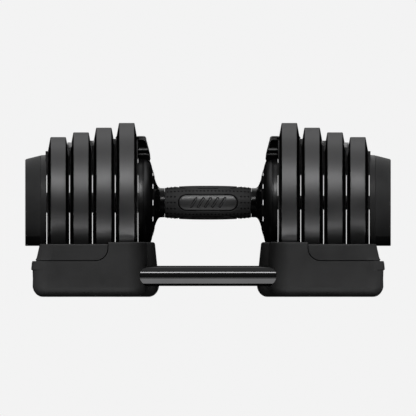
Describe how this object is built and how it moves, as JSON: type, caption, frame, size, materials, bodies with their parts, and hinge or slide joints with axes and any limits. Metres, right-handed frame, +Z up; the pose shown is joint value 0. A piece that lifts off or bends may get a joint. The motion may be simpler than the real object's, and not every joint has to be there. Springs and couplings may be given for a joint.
{
  "type": "adjustable dumbbell",
  "caption": "Adjustable dumbbell in its cradle: a twist grip turns flatted shafts that pick up stepped round plates held between hubs and end caps.",
  "frame": {"origin": "floor under the middle of the grip", "axes": "+X along the handle to the right seen from the front, -Y towards the front, +Z up"},
  "size_m": [0.3656, 0.1602, 0.174],
  "materials": {
    "plate_coat": "fine textured dark grey coat",
    "hub_paint": "satin black",
    "bar_paint": "gloss black tube",
    "tray_shell": "satin moulded",
    "tray_insert": "satin moulded",
    "base_plastic": "moulded",
    "cover_plastic": "satin moulded",
    "gloss_black": "gloss black",
    "grip_rubber": "soft-touch with grip dots",
    "foot_rubber": "dull",
    "zinc_steel": "zinc plated",
    "shaft_steel": "oiled machined steel",
    "bush_bronze": "sintered bronze",
    "number_white": "printed",
    "lens_clear": "clear"
  },
  "bodies": {
    "cradle": {"tray_shell_left": "tray_shell", "tray_shell_right": "tray_shell", "tray_insert_left": "tray_insert", "tray_insert_right": "tray_insert", "base_cover_left": "base_plastic", "base_cover_right": "base_plastic", "cradle_bar_front": "bar_paint", "cradle_bar_rear": "bar_paint", "bar_screws": "zinc_steel", "cover_screws": "zinc_steel", "rubber_feet": "foot_rubber"},
    "handle_frame": {"tie_rod": "shaft_steel", "end_nuts": "zinc_steel", "end_screws": "zinc_steel", "hub_screws": "zinc_steel", "hub_plate_left": "hub_paint", "hub_plate_right": "hub_paint", "hub_cover_left": "gloss_black", "hub_cover_right": "gloss_black", "hub_bush_left": "bush_bronze", "hub_bush_right": "bush_bronze", "click_ring_left": "gloss_black", "click_ring_right": "gloss_black", "indicator_housing_left": "gloss_black", "indicator_housing_right": "gloss_black", "indicator_lens_left": "lens_clear", "indicator_lens_right": "lens_clear", "detent_plungers": "zinc_steel", "lock_spring_left": "zinc_steel", "lock_spring_right": "zinc_steel", "end_ring_left": "hub_paint", "end_ring_right": "hub_paint", "end_cover_left": "cover_plastic", "end_cover_right": "cover_plastic", "end_pad_left": "foot_rubber", "end_pad_right": "foot_rubber"},
    "selector": {"grip_sleeve": "grip_rubber", "handle_tube": "shaft_steel", "collar_left": "gloss_black", "collar_right": "gloss_black", "selector_shaft_left": "shaft_steel", "selector_shaft_right": "shaft_steel", "lock_wheel_left": "shaft_steel", "lock_wheel_right": "shaft_steel", "number_ring_left": "number_white", "number_ring_right": "number_white"},
    "lock_yoke_left": {"lock_yoke_left": "shaft_steel"},
    "lock_yoke_right": {"lock_yoke_right": "shaft_steel"},
    "plate_left_1": {"plate_left_1": "plate_coat"},
    "plate_left_2": {"plate_left_2": "plate_coat"},
    "plate_left_3": {"plate_left_3": "plate_coat"},
    "plate_left_4": {"plate_left_4": "plate_coat"},
    "plate_right_1": {"plate_right_1": "plate_coat"},
    "plate_right_2": {"plate_right_2": "plate_coat"},
    "plate_right_3": {"plate_right_3": "plate_coat"},
    "plate_right_4": {"plate_right_4": "plate_coat"}
  },
  "joints": [
    {"name": "handle_lift", "type": "slide", "parent": "cradle", "child": "handle_frame", "axis": [0, 0, 1], "range_m": [0, 0.11]},
    {"name": "grip_turn", "type": "hinge", "parent": "handle_frame", "child": "selector", "pos_m": [0, 0, 0.0942], "axis": [1, 0, 0], "range_deg": [-120, 0]},
    {"name": "lock_left", "type": "slide", "parent": "handle_frame", "child": "lock_yoke_left", "axis": [0, 0, 1], "range_m": [-0.0046, 0], "deforming": ["lock_spring_left"]},
    {"name": "lock_right", "type": "slide", "parent": "handle_frame", "child": "lock_yoke_right", "axis": [0, 0, 1], "range_m": [-0.0046, 0], "deforming": ["lock_spring_right"]},
    {"name": "plate_left_1_lift", "type": "slide", "parent": "cradle", "child": "plate_left_1", "axis": [0, 0, 1], "range_m": [0, 0.11]},
    {"name": "plate_left_2_lift", "type": "slide", "parent": "cradle", "child": "plate_left_2", "axis": [0, 0, 1], "range_m": [0, 0.11]},
    {"name": "plate_left_3_lift", "type": "slide", "parent": "cradle", "child": "plate_left_3", "axis": [0, 0, 1], "range_m": [0, 0.11]},
    {"name": "plate_left_4_lift", "type": "slide", "parent": "cradle", "child": "plate_left_4", "axis": [0, 0, 1], "range_m": [0, 0.11]},
    {"name": "plate_right_1_lift", "type": "slide", "parent": "cradle", "child": "plate_right_1", "axis": [0, 0, 1], "range_m": [0, 0.11]},
    {"name": "plate_right_2_lift", "type": "slide", "parent": "cradle", "child": "plate_right_2", "axis": [0, 0, 1], "range_m": [0, 0.11]},
    {"name": "plate_right_3_lift", "type": "slide", "parent": "cradle", "child": "plate_right_3", "axis": [0, 0, 1], "range_m": [0, 0.11]},
    {"name": "plate_right_4_lift", "type": "slide", "parent": "cradle", "child": "plate_right_4", "axis": [0, 0, 1], "range_m": [0, 0.11]}
  ],
  "couplings": [
    {"joint": "lock_left", "follows": "handle_lift", "ratio": -0.04091},
    {"joint": "lock_right", "follows": "handle_lift", "ratio": -0.04091},
    {"joint": "plate_left_1_lift", "follows": "handle_lift", "ratio": 1},
    {"joint": "plate_left_2_lift", "follows": "handle_lift", "ratio": 1},
    {"joint": "plate_left_3_lift", "follows": "handle_lift", "ratio": 1},
    {"joint": "plate_left_4_lift", "follows": "handle_lift", "ratio": 1},
    {"joint": "plate_right_1_lift", "follows": "handle_lift", "ratio": 1},
    {"joint": "plate_right_2_lift", "follows": "handle_lift", "ratio": 1},
    {"joint": "plate_right_3_lift", "follows": "handle_lift", "ratio": 1},
    {"joint": "plate_right_4_lift", "follows": "handle_lift", "ratio": 1}
  ]
}
